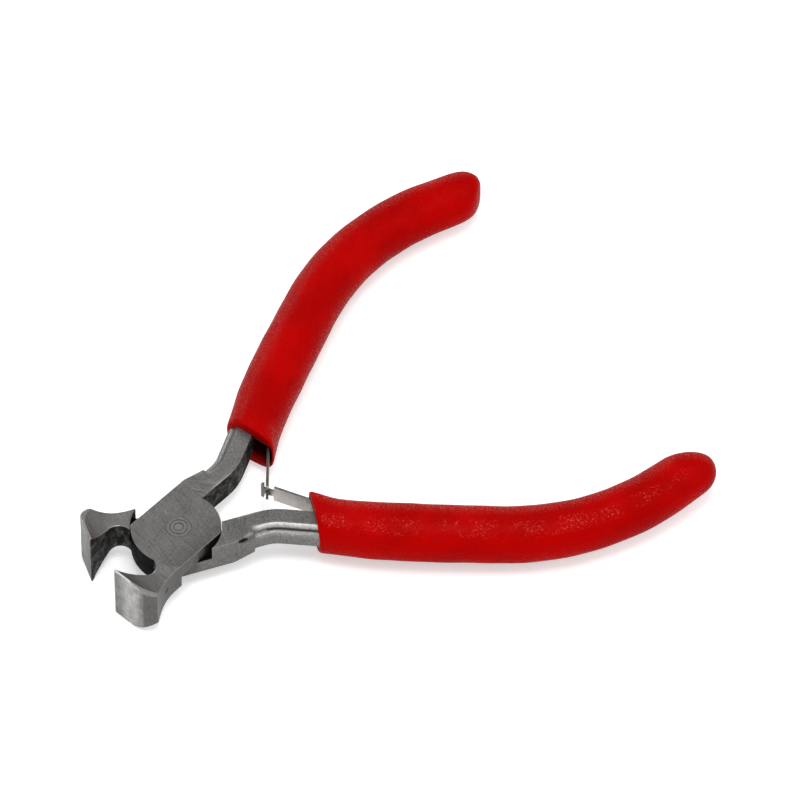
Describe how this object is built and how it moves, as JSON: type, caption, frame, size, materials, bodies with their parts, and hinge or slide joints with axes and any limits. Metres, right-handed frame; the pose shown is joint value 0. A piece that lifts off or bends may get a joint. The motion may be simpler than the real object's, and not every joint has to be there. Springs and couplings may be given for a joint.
{
  "type": "end cutting nippers",
  "caption": "Compact end cutting nippers with a lap joint, flared ground jaws, hooked leaf springs that push the handles open, and soft dipped handle grips.",
  "frame": {"origin": "on the pivot axis, at the lower flat of the joint", "axes": "+X along the middle line from the jaws to the handles, +Y towards the half whose lap lies on top, +Z along the pivot axis from the lower flat to the upper one"},
  "size_m": [0.1072, 0.089, 0.0127],
  "materials": {
    "forged_steel": "ground and polished at the joint and jaws, shot blasted on the arms",
    "rivet_steel": "ground flush",
    "spring_steel": "bright rolled strip",
    "red_grip": "soft dipped skin with fine pimples"
  },
  "bodies": {
    "top_lever": {"top_half": "forged_steel", "pivot_rivet": "rivet_steel", "top_grip": "red_grip", "slotted_leaf_rivet": "rivet_steel"},
    "bottom_lever": {"bottom_half": "forged_steel", "bottom_grip": "red_grip", "hooked_leaf_rivet": "rivet_steel"},
    "slotted_leaf": {"slotted_leaf": "spring_steel"},
    "hooked_leaf": {"hooked_leaf": "spring_steel"}
  },
  "joints": [
    {"name": "jaw_pivot", "type": "hinge", "parent": "top_lever", "child": "bottom_lever", "pos_m": [0, 0, 0.00295], "axis": [0, 0, 1], "range_deg": [0, 28], "stiffness_Nm_per_rad": 0.6},
    {"name": "slotted_leaf_flex", "type": "hinge", "parent": "top_lever", "child": "slotted_leaf", "pos_m": [0.02948, 0.01551, 0.00295], "axis": [0, 0, 1], "range_deg": [-17.05, 0]},
    {"name": "hooked_leaf_flex", "type": "hinge", "parent": "bottom_lever", "child": "hooked_leaf", "pos_m": [0.02948, -0.01551, 0.00295], "axis": [0, 0, 1], "range_deg": [0, 17.05]}
  ],
  "couplings": [
    {"joint": "slotted_leaf_flex", "follows": "jaw_pivot", "ratio": -0.60772},
    {"joint": "hooked_leaf_flex", "follows": "jaw_pivot", "ratio": 0.60772}
  ]
}
